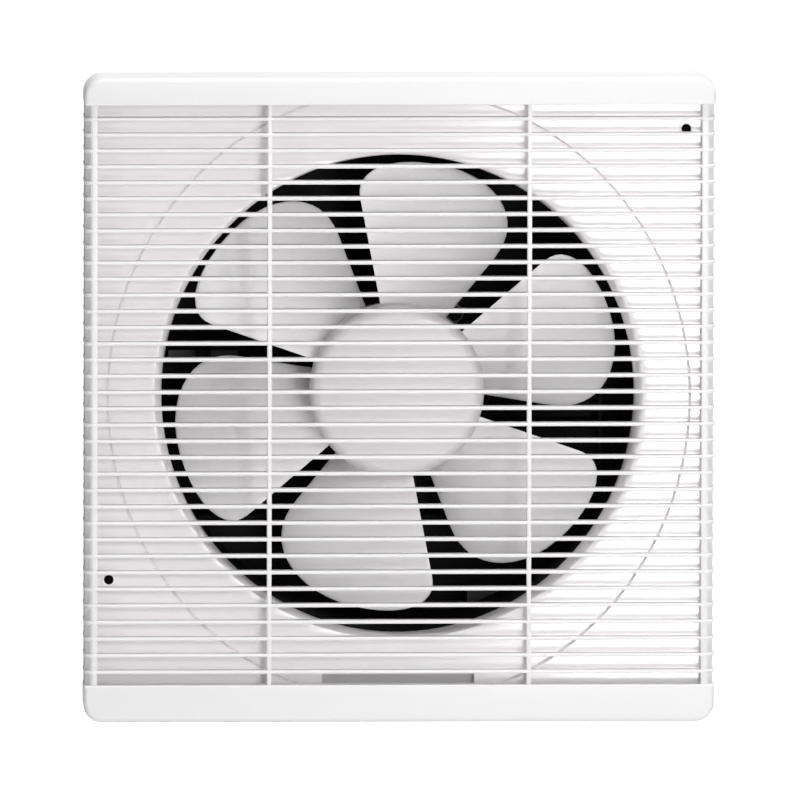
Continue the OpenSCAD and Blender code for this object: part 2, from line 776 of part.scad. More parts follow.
module motor_rear_cover() color(black) {
    translate([0, motor_back, 0]) mirror([0, 1, 0]) motor_cover(motor_len / 2 - arm_t / 2);
}

module motor_screws() color(steel) {
    grip = 2 * ear_t + arm_t;
    for (i = [0:3]) rotate([0, 45 + 90 * i, 0]) translate([motor_screw_ring, motor_mid - grip / 2, 0])
        rotate([-90, 0, 0]) {
            pan_screw(motor_screw_r, grip + 2);
            translate([0, 0, grip]) cylinder(r = 1.9 * motor_screw_r, h = 3, $fn = 6);
        }
}

module motor_bracket() color(black) {
    plate_r = motor_screw_ring + motor_screw_r + 3;
    y0 = motor_mid - arm_t / 2;
    difference() {
        union() {
            slab(y0, y0 + arm_t) {
                circle(r = plate_r, $fn = 128);
                for (a = [0, 90]) rotate(a) square([2 * arm_reach, arm_w], center = true);
            }
            for (a = [0:90:270]) rotate([0, a, 0])
                translate([arm_reach - arm_t, y0 - tab_l, -arm_w / 2]) cube([arm_t, tab_l + arm_t, arm_w]);
            for (a = [0:90:270], s = [-1, 1]) rotate([0, a, 0])
                translate([plate_r - 2, y0 - arm_rib, s * (arm_w - arm_rib_t) / 2 - arm_rib_t / 2])
                    cube([arm_reach - plate_r, arm_rib + join, arm_rib_t]);
        }
        slab(y0 - 1, y0 + arm_t + 1) circle(r = stator_r, $fn = 128);
        for (i = [0:3]) rotate([0, 45 + 90 * i, 0]) translate([motor_screw_ring, 0, 0])
            slab(y0 - 1, y0 + arm_t + 1) circle(r = motor_screw_r + screw_gap);
        for (a = [0:90:270])
            rotate([0, a, 0]) translate([arm_reach - arm_t - 1, tab_y, 0]) rotate([0, 90, 0])
                cylinder(r = joint_screw_r, h = arm_t + 2);
    }
}

module bracket_screws() color(steel) {
    for (a = [0:90:270]) rotate([0, a, 0]) translate([arm_reach - arm_t, tab_y, 0]) rotate([0, 90, 0])
        pan_screw(joint_screw_r - thread_gap, arm_t + casing_wall);
}

module capacitor() color([0.12, 0.12, 0.13]) {
    y0 = motor_mid + arm_t / 2;
    end_x = capacitor_x + capacitor_w / 2;
    lug = [8, clip_t, 3];
    translate([capacitor_x - capacitor_w / 2, y0, -capacitor_h / 2])
        cube([capacitor_w, capacitor_t, capacitor_h]);
    for (z = [-1, 1] * capacitor_h / 6)
        translate([end_x - join, y0 + capacitor_t / 3, z - lug[2] / 2]) cube(lug);
}

module capacitor_clip() color(steel) {
    t = clip_t;
    y0 = motor_mid - arm_t / 2 - arm_rib - clip_gap;
    depth = arm_rib + arm_t + capacitor_t + 2 * clip_gap;
    height = capacitor_h + 2 * clip_gap;
    translate([capacitor_x - clip_w / 2, 0, 0]) difference() {
        translate([0, y0 - t, -height / 2 - t]) cube([clip_w, depth + 2 * t, height + 2 * t]);
        translate([-1, y0, -height / 2]) cube([clip_w + 2, depth, height]);
    }
}

module terminal_box() color(black) {
    x0 = box_x - box_w / 2;
    y0 = box_y - box_l / 2;
    w = box_wall;
    difference() {
        translate([x0, y0, box_floor]) cube([box_w, box_l, box_h - w]);
        translate([x0 + w, y0 + w, box_floor + w]) cube([box_w - 2 * w, box_l - 2 * w, box_h]);
        translate([box_x, box_y, box_floor - 1]) cylinder(r = grommet_r, h = w + 2);
        translate([x0 - 1, box_y, lead_z]) rotate([0, 90, 0]) cylinder(r = lead_r + thread_gap, h = w + 2);
    }
}

module terminal_cover() color(black) {
    z0 = box_floor + box_h - box_wall;
    inset = box_wall + cover_gap;
    translate([box_x - box_w / 2, box_y - box_l / 2, z0]) cube([box_w, box_l, box_wall]);
    translate([box_x - box_w / 2 + inset, box_y - box_l / 2 + inset, z0 - box_wall])
        cube([box_w - 2 * inset, box_l - 2 * inset, box_wall + join]);
}

module terminal_block() color([0.85, 0.84, 0.80]) {
    x0 = box_x + box_w / 2 - box_wall - block_gap - block_w;
    wire_z = block_h * 0.4;
    translate([x0, box_y - block_w / 2, box_floor + box_wall]) difference() {
        cube([block_w, block_w, block_h]);
        for (i = [0:2]) translate([0, block_w * (i + 0.5) / 3, wire_z]) {
            translate([-1, 0, 0]) rotate([0, 90, 0]) cylinder(r = 1.6, h = block_w + 2);
            translate([block_w / 2, 0, 0]) cylinder(r = 1.4, h = block_h);
        }
    }
}

module cord_grommet() color([0.1, 0.1, 0.1]) {
    rim = 1.5;
    length = rim + casing_wall + box_wall + grommet_wall;
    translate([box_x, box_y, -casing_half - rim]) difference() {
        union() {
            cylinder(r = grommet_r + 2, h = rim);
            cylinder(r = grommet_r - thread_gap, h = length);
        }
        translate([0, 0, -1]) cylinder(r = cord_r, h = length + 2);
    }
}

// The lead runs down beside the motor, then sideways into the terminal box
module motor_lead() color([0.15, 0.15, 0.16]) {
    x0 = arm_w / 2 + lead_r + 0.4;
    z_top = -sqrt(pow(motor_r, 2) - pow(x0 - lead_r, 2)) - 0.2;
    bend = lead_bend;
    x_box = box_x - box_w / 2 + 2 * box_wall;
    translate([x0, box_y, lead_z + bend]) cylinder(r = lead_r, h = z_top - lead_z - bend, $fn = 24);
    translate([x0 + bend, box_y, lead_z + bend]) rotate([90, 0, 0]) rotate([0, 0, 180])
        rotate_extrude(angle = 90, $fn = 48) translate([bend, 0]) circle(r = lead_r, $fn = 24);
    translate([x0 + bend, box_y, lead_z]) rotate([0, 90, 0])
        cylinder(r = lead_r, h = x_box - x0 - bend, $fn = 24);
}

module shutter_frame() color(black) {
    difference() {
        union() {
            slab(frame_front, frame_back) difference() {
                square(2 * frame_out, center = true);
                square(2 * frame_in, center = true);
            }
            translate([-frame_in - join, frame_front, -frame_in - join])
                cube([2 * (frame_in + join), hinge_in + barrel_r - frame_gap, sill_h + join]);
            translate([-frame_in - join, hinge_y + stop_t / 2, hinge_top + barrel_r + shutter_gap])
                cube([2 * (frame_in + join), stop_t, frame_in - hinge_top - barrel_r]);
        }
        for (i = [0:shutter_n - 1]) translate([-frame_out - 1, hinge_y, hinge_z(i)]) rotate([0, 90, 0])
            cylinder(r = hinge_pin_r + hinge_gap, h = 2 * frame_out + 2);
        for (p = frame_screw_places)
            rotate([0, p[0], 0]) translate([frame_in - 1, frame_screw_y, p[1]]) rotate([0, 90, 0])
                cylinder(r = joint_screw_r, h = shutter_frame_wall + 2);
    }
}

function hinge_z(i) = hinge_top - i * shutter_step;

module shutter_frame_screws() color(steel) {
    for (p = frame_screw_places)
        rotate([0, p[0], 0]) translate([frame_in, frame_screw_y, p[1]]) rotate([0, 90, 0])
            pan_screw(joint_screw_r - thread_gap, shutter_frame_wall + frame_gap + casing_wall);
}

// One shutter with its barrel, hinge pins, hanging plate and crank arm
module shutter(i) color(black) {
    pin_reach = frame_out - 1;
    translate([0, hinge_y, hinge_z(i)]) {
        translate([-shutter_w / 2, 0, 0]) rotate([0, 90, 0]) cylinder(r = barrel_r, h = shutter_w);
        translate([-pin_reach, 0, 0]) rotate([0, 90, 0]) cylinder(r = hinge_pin_r, h = 2 * pin_reach);
        translate([-plate_w / 2, 0, 0]) rotate([90, 0, 90])
            linear_extrude(plate_w) rotate(shutter_tilt) plate_outline();
        translate([link_x - link_t / 2, 0, 0]) rotate([90, 0, 90]) linear_extrude(link_t) crank_outline();
        translate([link_x, -crank_y, crank_z]) rotate([0, 90, 0])
            cylinder(r = crank_pin_r, h = 2 * (link_t + link_side_gap));
    }
}

// The hanging plate with the lip along its foot, drawn in Y and Z
module plate_outline() {
    t = shutter_t / 2;
    polygon([
        [-t, 0], [-t, -shutter_len], [t + foot_lip, -shutter_len],
        [t + foot_lip, foot_lip - shutter_len], [t, foot_lip - shutter_len], [t, 0]
    ]);
}

// The crank arm, from the barrel to its pin, drawn in Y and Z
module crank_outline() {
    reach = norm([crank_y, crank_z]);
    angle = atan2(crank_z, -crank_y);
    half = crank_pin_r + 0.7;
    rotate(angle) translate([0, -half]) square([reach, 2 * half]);
    translate([-crank_y, crank_z]) circle(r = crank_pin_r + 1.5);
}

module shutter_1() shutter(0);
module shutter_2() shutter(1);
module shutter_3() shutter(2);
module shutter_4() shutter(3);
module shutter_5() shutter(4);

module shutter_link() color([0.1, 0.1, 0.105]) {
    x0 = link_x + link_t / 2 + link_side_gap;
    top = hinge_z(0) + crank_z;
    length = (shutter_n - 1) * shutter_step;
    y = hinge_y - crank_y;
    difference() {
        translate([x0, 0, 0]) rotate([90, 0, 90]) linear_extrude(link_t) {
            translate([y - link_w / 2, top - length]) square([link_w, length]);
            for (z = [top, top - length]) translate([y, z]) circle(r = link_w / 2);
        }
        for (i = [0:shutter_n - 1]) translate([x0 - 1, y, top - i * shutter_step]) rotate([0, 90, 0])
            cylinder(r = crank_pin_r + (i == 0 ? hinge_gap : link_gap), h = link_t + 2);
    }
}

front_grille();
front_panel();
rear_casing();
duct_ring();
joint_screws();
impeller();
hub_cap();
impeller_nut();
impeller_washer();
motor_shaft();
rotor_core();
front_bearing();
rear_bearing();
stator_core();
stator_windings();
motor_front_cover();
motor_rear_cover();
motor_screws();
motor_bracket();
bracket_screws();
capacitor();
capacitor_clip();
terminal_box();
terminal_cover();
terminal_block();
cord_grommet();
motor_lead();
shutter_frame();
shutter_frame_screws();
shutter_1();
shutter_2();
shutter_3();
shutter_4();
shutter_5();
shutter_link();
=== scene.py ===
import math
import bmesh
import bpy
import numpy as np
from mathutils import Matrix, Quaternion, Vector


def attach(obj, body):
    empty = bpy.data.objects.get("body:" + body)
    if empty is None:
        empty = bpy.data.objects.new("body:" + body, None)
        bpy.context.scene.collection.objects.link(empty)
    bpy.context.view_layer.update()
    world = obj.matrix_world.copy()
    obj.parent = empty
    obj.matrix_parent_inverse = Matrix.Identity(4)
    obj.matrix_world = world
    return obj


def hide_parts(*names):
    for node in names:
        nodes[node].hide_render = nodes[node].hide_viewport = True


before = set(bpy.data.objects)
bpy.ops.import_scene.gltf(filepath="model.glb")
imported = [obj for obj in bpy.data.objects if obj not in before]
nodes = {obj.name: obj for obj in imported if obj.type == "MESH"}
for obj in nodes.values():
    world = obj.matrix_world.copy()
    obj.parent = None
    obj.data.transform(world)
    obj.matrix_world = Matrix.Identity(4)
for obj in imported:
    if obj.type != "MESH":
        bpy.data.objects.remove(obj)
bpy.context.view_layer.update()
mm = 0.001  # shapes are worked out in millimetres and turned into metres in makeMesh
mergeDistance, shortestEdge = 0.0004 * mm, 1e-8  # metres
print("frame loaded,", len(nodes), "nodes")


# Corner indices of the quads on a grid of points: row i, column j is the point i * cols + j.
# A closed way joins its last row or column to the first
def gridQuads(rows, cols, closeRows, closeCols):
    i = np.arange(rows if closeRows else rows - 1)[:, None]
    j = np.arange(cols if closeCols else cols - 1)[None, :]
    nextRow, nextCol = (i + 1) % rows, (j + 1) % cols
    corners = [i * cols + j, i * cols + nextCol, nextRow * cols + nextCol, nextRow * cols + j]
    return np.stack(np.broadcast_arrays(*corners), -1).reshape(-1, 4)


# One shell from a grid of points (rows, cols, 3): its points, its quads and, if asked for, its flat
# caps, which are the first and the last row
def gridShell(points, closeRows=False, closeCols=True, capEnds=False):
    rows, cols = points.shape[:2]
    quads = gridQuads(rows, cols, closeRows, closeCols)
    caps = [np.arange(cols), np.arange((rows - 1) * cols, rows * cols)] if capEnds else []
    return points.reshape(-1, 3), quads, caps


# A profile of (radius, y) turned about the fan's axis: x = r sin a, z = r cos a.
# An open profile starts and ends on the axis, where its points merge into poles
def revolve(profile, steps, closed=False):
    a = np.linspace(0, 2 * math.pi, steps, endpoint=False)[:, None]
    r, y = np.asarray(profile, float).T[:, None, :]
    points = np.stack([r * np.sin(a), y + 0 * a, r * np.cos(a)], -1)
    return gridShell(points, closeRows=True, closeCols=closed)


# A ring: a closed loop of (radius, y) turned about the line along Y through (x0, z0):
# x = x0 + r cos a, z = z0 + r sin a
def ringAt(x0, z0, loop, steps=32):
    a = np.linspace(0, 2 * math.pi, steps, endpoint=False)[:, None]
    r, y = np.asarray(loop, float).T[:, None, :]
    points = np.stack([x0 + r * np.cos(a), y + 0 * a, z0 + r * np.sin(a)], -1)
    return gridShell(points, closeRows=True)


# A prism: an outline in X and Z carried straight along Y from y0 to y1
def prism(outline, y0, y1):
    ends = [np.stack([outline[:, 0], np.full(len(outline), y), outline[:, 1]], -1) for y in (y0, y1)]
    return gridShell(np.stack(ends), capEnds=True)


# Points of an arc, centre + radius * (cos a, sin a), for steps + 1 angles in degrees
def arc(cx, cy, radius, first, last, steps):
    a = np.radians(np.linspace(first, last, steps + 1))
    return np.stack([cx + radius * np.cos(a), cy + radius * np.sin(a)], -1)


# Outline of a rectangle with round corners, anticlockwise, with its outward normals: each point is
# its corner's centre + radius * normal
def roundedOutline(halfW, halfH, radius, cornerSteps):
    points, normals = [], []
    corners = ((halfW, -halfH, -90), (halfW, halfH, 0), (-halfW, halfH, 90), (-halfW, -halfH, 180))
    for x, y, first in corners:
        centre = np.array([x - math.copysign(radius, x), y - math.copysign(radius, y)])
        normals.append(arc(0, 0, 1, first, first + 90, cornerSteps))
        points.append(centre + radius * normals[-1])
    return np.concatenate(points), np.concatenate(normals)


# A straight bar along axis 0, 1 or 2 from corner low to corner high. Its section is a rounded
# rectangle that shrinks towards both ends by the insets below
def roundedBar(low, high, axis, radius):
    endRound = [(0, 0.7), (0.25, 0.18), (0.7, 0)]  # distance from the end and inset, in radii
    low, high = np.asarray(low, float), np.asarray(high, float)
    others = [k for k in range(3) if k != axis]
    centre, half = (low + high) / 2, (high - low) / 2
    outline, normals = roundedOutline(half[others[0]], half[others[1]], radius, 4)
    rows = [(low[axis] + radius * along, radius * inset) for along, inset in endRound]
    rows += [(high[axis] - radius * along, radius * inset) for along, inset in reversed(endRound)]
    points = np.zeros((len(rows), len(outline), 3))
    for row, (place, inset) in zip(points, rows):
        row[:, axis] = place
        row[:, others] = centre[others] + outline - normals * inset
    return gridShell(points, capEnds=True)


# Joins shells into one mesh, merges what touches at poles and turns the faces outwards
def makeMesh(name, shells):
    points, faces, start = [], [], 0
    for shellPoints, quads, caps in shells:
        points.append(shellPoints)
        faces += (quads + start).tolist() + [(cap + start).tolist() for cap in caps]
        start += len(shellPoints)
    mesh = bpy.data.meshes.new(name)
    mesh.from_pydata((np.concatenate(points) * mm).tolist(), [], faces)
    work = bmesh.new()
    work.from_mesh(mesh)
    bmesh.ops.remove_doubles(work, verts=work.verts, dist=mergeDistance)
    bmesh.ops.dissolve_degenerate(work, edges=work.edges, dist=shortestEdge)
    bmesh.ops.recalc_face_normals(work, faces=work.faces)
    work.to_mesh(mesh)
    work.free()
    piece = bpy.data.objects.new(name, mesh)
    bpy.context.scene.collection.objects.link(piece)
    return piece


# Shades a piece, hangs it on the empty of the body it rides on and hides the nodes that it replaces
def finishPiece(piece, material, body, replaced=(), sharpAngle=32):
    mesh = piece.data
    mesh.polygons.foreach_set("use_smooth", [True] * len(mesh.polygons))
    mesh.set_sharp_from_angle(angle=math.radians(sharpAngle))
    mesh.materials.clear()
    mesh.materials.append(material)
    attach(piece, body)
    if replaced:
        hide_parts(*replaced)
    print(piece.name, "made,", len(mesh.polygons), "faces")


# A material with its tree, its shader and the Object coordinates that all patterns use
def newMaterial(name):
    material = bpy.data.materials.new(name)
    material.use_nodes = True
    tree = material.node_tree
    coords = tree.nodes.new("ShaderNodeTexCoord")
    return material, tree, tree.nodes["Principled BSDF"], coords.outputs["Object"]


# Cloudy noise from 0 to 1, in scale clouds to the metre
def addNoise(tree, coords, scale, detail):
    noise = tree.nodes.new("ShaderNodeTexNoise")
    noise.inputs["Scale"].default_value = scale
    noise.inputs["Detail"].default_value = detail
    tree.links.new(coords, noise.inputs["Vector"])
    return noise.outputs["Fac"]


# A blend from one colour to another as the value goes from the first place to the second
def addRamp(tree, value, places, colours):
    ramp = tree.nodes.new("ShaderNodeValToRGB")
    for stop, place, colour in zip(ramp.color_ramp.elements, places, colours):
        stop.position, stop.color = place, (*colour, 1)
    tree.links.new(value, ramp.inputs["Fac"])
    return ramp.outputs["Color"]


# low + (high - low) * (value - fromLow) / (fromHigh - fromLow), kept between low and high
def addRange(tree, value, low, high, fromLow=0.0, fromHigh=1.0):
    span = tree.nodes.new("ShaderNodeMapRange")
    settings = {"From Min": fromLow, "From Max": fromHigh, "To Min": low, "To Max": high}
    for name, number in settings.items():
        span.inputs[name].default_value = number
    tree.links.new(value, span.inputs["Value"])
    return span.outputs["Result"]


# The sum or product of two values, kept between 0 and 1 if clamped
def addMath(tree, operation, first, second, clamp=False):
    result = tree.nodes.new("ShaderNodeMath")
    result.operation, result.use_clamp = operation, clamp
    tree.links.new(first, result.inputs[0])
    tree.links.new(second, result.inputs[1])
    return result.outputs["Value"]


# Tilts the shading as if the height from 0 to 1 were that distance in metres, times the strength
def addBump(tree, shader, height, strength, distance):
    bump = tree.nodes.new("ShaderNodeBump")
    bump.inputs["Strength"].default_value = strength
    bump.inputs["Distance"].default_value = distance
    tree.links.new(height, bump.inputs["Height"])
    tree.links.new(bump.outputs["Normal"], shader.inputs["Normal"])


patterns = {
    "blend": (0.3, 0.7),  # the part of a noise's range in which one shade turns into the other
    "driftScale": 14, "patchScale": 40, "grainStrength": 0.35, "coatRough": 0.15,
    "brushScale": (30, 900, 900), "brushShades": (0.88, 1.08), "brushStrength": 0.3, "brushDepth": 0.00002,
    "floorScale": 3,
}


# Moulded plastic, rubber or paint: a slow drift of colour, a roughness that varies in patches between
# the two gloss values, and a fine grain whose depth is in metres
def mouldedPlastic(name, colour, drift=0.015, gloss=(0.3, 0.4), grain=900, grainDepth=0.00002,
                   specular=0.5, coat=0.0):
    material, tree, shader, coords = newMaterial(name)
    shades = [[min(1.0, c * (1 + change)) for c in colour] for change in (-drift, drift)]
    cloud = addNoise(tree, coords, patterns["driftScale"], 4)
    tree.links.new(addRamp(tree, cloud, patterns["blend"], shades), shader.inputs["Base Color"])
    patches = addNoise(tree, coords, patterns["patchScale"], 3)
    tree.links.new(addRange(tree, patches, *gloss), shader.inputs["Roughness"])
    addBump(tree, shader, addNoise(tree, coords, grain, 2), patterns["grainStrength"], grainDepth)
    shader.inputs["Specular IOR Level"].default_value = specular
    shader.inputs["Coat Weight"].default_value = coat
    shader.inputs["Coat Roughness"].default_value = patterns["coatRough"]
    return material


# Metal with fine brush lines: noise that is drawn out along X sets colour, roughness and bump
def brushedMetal(name, colour, gloss):
    material, tree, shader, coords = newMaterial(name)
    stretch = tree.nodes.new("ShaderNodeMapping")
    stretch.inputs["Scale"].default_value = patterns["brushScale"]
    tree.links.new(coords, stretch.inputs["Vector"])
    streak = addNoise(tree, stretch.outputs["Vector"], 1.0, 3)
    shades = [[min(1.0, c * share) for c in colour] for share in patterns["brushShades"]]
    tree.links.new(addRamp(tree, streak, patterns["blend"], shades), shader.inputs["Base Color"])
    tree.links.new(addRange(tree, streak, *gloss), shader.inputs["Roughness"])
    addBump(tree, shader, streak, patterns["brushStrength"], patterns["brushDepth"])
    shader.inputs["Metallic"].default_value = 1.0
    return material


# Fine strands or sheets: light and dark lines as a wave of the distance from the axis, or along it
def linedMetal(name, rings, scale, distortion, detail, places, colours, bump, metallic, roughness):
    material, tree, shader, coords = newMaterial(name)
    wave = tree.nodes.new("ShaderNodeTexWave")
    wave.wave_type = "RINGS" if rings else "BANDS"
    wave.rings_direction = wave.bands_direction = "Y"
    wave.inputs["Scale"].default_value = scale
    wave.inputs["Distortion"].default_value = distortion
    wave.inputs["Detail"].default_value = detail
    tree.links.new(coords, wave.inputs["Vector"])
    tree.links.new(addRamp(tree, wave.outputs["Fac"], places, colours), shader.inputs["Base Color"])
    addBump(tree, shader, wave.outputs["Fac"], *bump)
    shader.inputs["Metallic"].default_value = metallic
    shader.inputs["Roughness"].default_value = roughness
    return material


casingBlack = (0.004, 0.004, 0.0045)
plastics = {
    # The grille gets a darker white than the panel, though both are white plastic: painted shade on the
    # grille and painted light on the panel, evening out the grille's strong front light and the shade its
    # bars cast on the panel
    "whiteGrillePlastic": {
        "colour": (0.72, 0.71, 0.715), "drift": 0.012, "gloss": (0.42, 0.5), "specular": 0.35},
    "whitePanelPlastic": {
        "colour": (0.89, 0.868, 0.872), "drift": 0.006, "gloss": (0.14, 0.17), "grainDepth": 0.000008,
        "specular": 0.95},
    # The blades get a lighter white than the hub cap, though both are one plastic: painted light standing in
    # for light the blades miss deep in the throat
    "paleBladePlastic": {"colour": (0.95, 0.927, 0.932), "drift": 0.012, "gloss": (0.32, 0.42)},
    "paleHubPlastic": {"colour": (0.81, 0.787, 0.792), "drift": 0.012, "gloss": (0.32, 0.42)},
    "blackCasingPlastic": {
        "colour": casingBlack, "drift": 0.15, "gloss": (0.5, 0.65), "grain": 500, "grainDepth": 0.00005,
        "specular": 0.12},
    "blackRingPlastic": {
        "colour": casingBlack, "drift": 0.15, "gloss": (0.6, 0.7), "grain": 500, "specular": 0.02},
    "blackBoxPlastic": {
        "colour": (0.012, 0.012, 0.0135), "drift": 0.1, "gloss": (0.4, 0.55), "grain": 600,
        "grainDepth": 0.00004, "specular": 0.3},
    "paleTerminalPlastic": {"colour": (0.82, 0.80, 0.74), "drift": 0.03, "gloss": (0.35, 0.45)},
    "softBlackRubber": {"colour": (0.02, 0.02, 0.02), "drift": 0.1, "gloss": (0.6, 0.75), "grain": 1200},
    "mattBlackPaint": {
        "colour": casingBlack, "drift": 0.2, "gloss": (0.55, 0.7), "grain": 300, "grainDepth": 0.00005,
        "specular": 0.06},
    "blackMotorPaint": {
        "colour": (0.03, 0.03, 0.033), "drift": 0.1, "gloss": (0.25, 0.4), "grain": 300,
        "grainDepth": 0.00006, "coat": 0.2},
}
linedMetals = {
    "windingCopper": {
        "rings": True, "scale": 420, "distortion": 1.5, "detail": 2, "places": (0.2, 0.8),
        "colours": ((0.35, 0.12, 0.04), (0.78, 0.36, 0.16)), "bump": (0.8, 0.0002),
        "metallic": 0.7, "roughness": 0.35},
    "stackedCoreSheets": {
        "rings": False, "scale": 300, "distortion": 0.3, "detail": 2, "places": (0.3, 0.7),
        "colours": ((0.16, 0.16, 0.17), (0.42, 0.42, 0.44)), "bump": (0.6, 0.0001),
        "metallic": 0.9, "roughness": 0.45},
}
finishes = {name: mouldedPlastic(name, **values) for name, values in plastics.items()}
finishes |= {name: linedMetal(name, **values) for name, values in linedMetals.items()}
finishes["zincSteel"] = brushedMetal("zincSteel", (0.66, 0.67, 0.68), (0.28, 0.45))
print("materials made")

# The nodes that keep their solids. Screws and clips that show through the grille are black; on the zinc motor
# screws and capacitor clip the black is painted shade, keeping the view into the fan dark
cadFinishes = {
    "blackCasingPlastic": ["rear_casing", "shutter_frame", "shutter_1", "shutter_2", "shutter_3",
                           "shutter_4", "shutter_5", "shutter_link"],
    "blackRingPlastic": ["duct_ring"],
    "zincSteel": ["joint_screws", "impeller_nut", "impeller_washer", "motor_shaft", "front_bearing",
                  "rear_bearing", "shutter_frame_screws"],
    # the zinc motor screws and capacitor clip get black paint here: painted shade
    "mattBlackPaint": ["motor_bracket", "bracket_screws", "motor_screws", "capacitor_clip"],
    "blackMotorPaint": ["motor_front_cover", "motor_rear_cover"],
    "stackedCoreSheets": ["rotor_core", "stator_core"],
    "windingCopper": ["stator_windings"],
    "blackBoxPlastic": ["capacitor", "terminal_box", "terminal_cover"],
    "paleTerminalPlastic": ["terminal_block"],
    "softBlackRubber": ["cord_grommet", "motor_lead"],
}
for finish, nodeNames in cadFinishes.items():
    for nodeName in nodeNames:
        nodes[nodeName].data.materials.clear()
        nodes[nodeName].data.materials.append(finishes[finish])

grille = {
    "halfW": 171.5, "halfH": 176.5, "faceY": -50.0, "backY": -24.0, "wall": 2.0,
    "topCap": 15.0, "footCap": 20.4, "corner": 10.0, "edge": 2.8,  # heights, corner and rim of the caps
    "lowerCorner": 0.8, "lowerEdge": 0.7, "returnDepth": 9.0, "capEndWall": 2.3, "capEndStep": 0.4,
    "barCount": 35, "firstBar": 7.7, "lastBar": 7.1,
    "barLift": 1.9,  # how much the middle bars lie above an even spacing
    "barY": -48.4, "barThick": 2.0, "barDepth": 6.0, "bend": 5.0, "innerBend": 2.0,
    "barRound": 0.92, "barRearRound": 0.35,
    "barMiddle": 0.94,  # share of the front that the evenly spaced middle points cover
    "ribX": 70.6, "ribW": 2.5, "sideRibX": 165.7, "sideRibW": 3.2,
    "ribFrontIn": 0.15, "ribBackIn": 0.5, "ribRound": 0.6,
    "stripT": 1.3, "stripFromRib": 1.2, "stripFromSide": 0.75, "stripFrontIn": 0.9, "stripBackOut": 0.6,
    "stripFrontLand": 0.8, "stripSideLand": 1.0, "stripSlant": 1.4,
    "rail": 3.0, "railIn": 0.4, "railRound": 0.4,
    "prongX": 62.0, "prongZ": 168.0, "prongW": 10.0, "prongT": 2.0, "prongFrontIn": 1.0, "prongEndY": -28.5,
    "prongRound": 0.5, "ribIntoCap": 1.5, "railIntoCap": 1.0,
}


# A bar with its middle at height z. Its plan is a pair of lines, outer and inner, from the rear of one
# side round to the rear of the other. A rounded section spans the pair:
# plan point = outer + across * along, where along goes from 0 to the distance between the lines
def grilleBar(z, g):
    sideCount, bendSteps, middleCount = 5, 8, 15
    sideX, innerSideX = g["halfW"], g["halfW"] - g["wall"]
    frontX, innerY = sideX - g["bend"], g["barY"] + g["barDepth"]
    sideY = np.linspace(g["backY"], innerY + g["innerBend"], sideCount)
    bend = arc(frontX, g["barY"] + g["bend"], g["bend"], 0, -90, bendSteps)
    innerBend = arc(innerSideX - g["innerBend"], innerY + g["innerBend"], g["innerBend"], 0, -90, bendSteps)
    middleX = g["barMiddle"] * np.linspace(frontX, -frontX, middleCount)
    outer = np.concatenate([np.c_[np.full(sideCount, sideX), sideY], bend])
    inner = np.concatenate([np.c_[np.full(sideCount, innerSideX), sideY], innerBend])
    mirror = np.array([-1.0, 1.0])
    outer = np.concatenate([outer, np.c_[middleX, np.full(middleCount, g["barY"])], outer[::-1] * mirror])
    inner = np.concatenate([inner, np.c_[middleX, np.full(middleCount, innerY)], inner[::-1] * mirror])
    across = inner - outer
    width = np.hypot(across[:, 0], across[:, 1])[:, None]
    across = across / width
    # the section's columns: place along, height, and 1 where along is counted from the inner line
    h, r, rearR = g["barThick"] / 2, g["barRound"], g["barRearRound"]
    front = arc(r, h - r, r, 180, 90, 4)
    rear = arc(-rearR, h - rearR, rearR, 90, 0, 2)
    upper = np.concatenate([np.c_[front, np.zeros(len(front))], np.c_[rear, np.ones(len(rear))]])
    section = np.concatenate([upper, upper[::-1] * np.array([1, -1, 1])])
    along = section[None, :, 0] + section[None, :, 2] * width
    plan = outer[:, None, :] + across[:, None, :] * along[..., None]
    height = z + section[None, :, 1] + 0 * along
    return gridShell(np.concatenate([plan, height[..., None]], -1), capEnds=True)


# The slanted strip that joins a side rib to the side's corner, under the bends of the bars: one
# section of six corners in X and Y, carried from z0 to z1
def cornerStrip(side, z0, z1, g):
    x0, x1, t = g["sideRibX"] + g["stripFromRib"], g["halfW"] - g["stripFromSide"], g["stripT"]
    y0, y1 = g["barY"] + g["stripFrontIn"], g["barY"] + g["bend"] + g["stripBackOut"]
    rearY = y1 + g["stripSideLand"]
    section = np.array([(x0, y0), (x0 + g["stripFrontLand"], y0), (x1, y1), (x1, rearY),
                        (x1 - t, rearY), (x0, y0 + t * g["stripSlant"])])
    ends = [np.c_[side * section[:, 0], section[:, 1], np.full(len(section), z)] for z in (z0, z1)]
    return gridShell(np.stack(ends), capEnds=True)


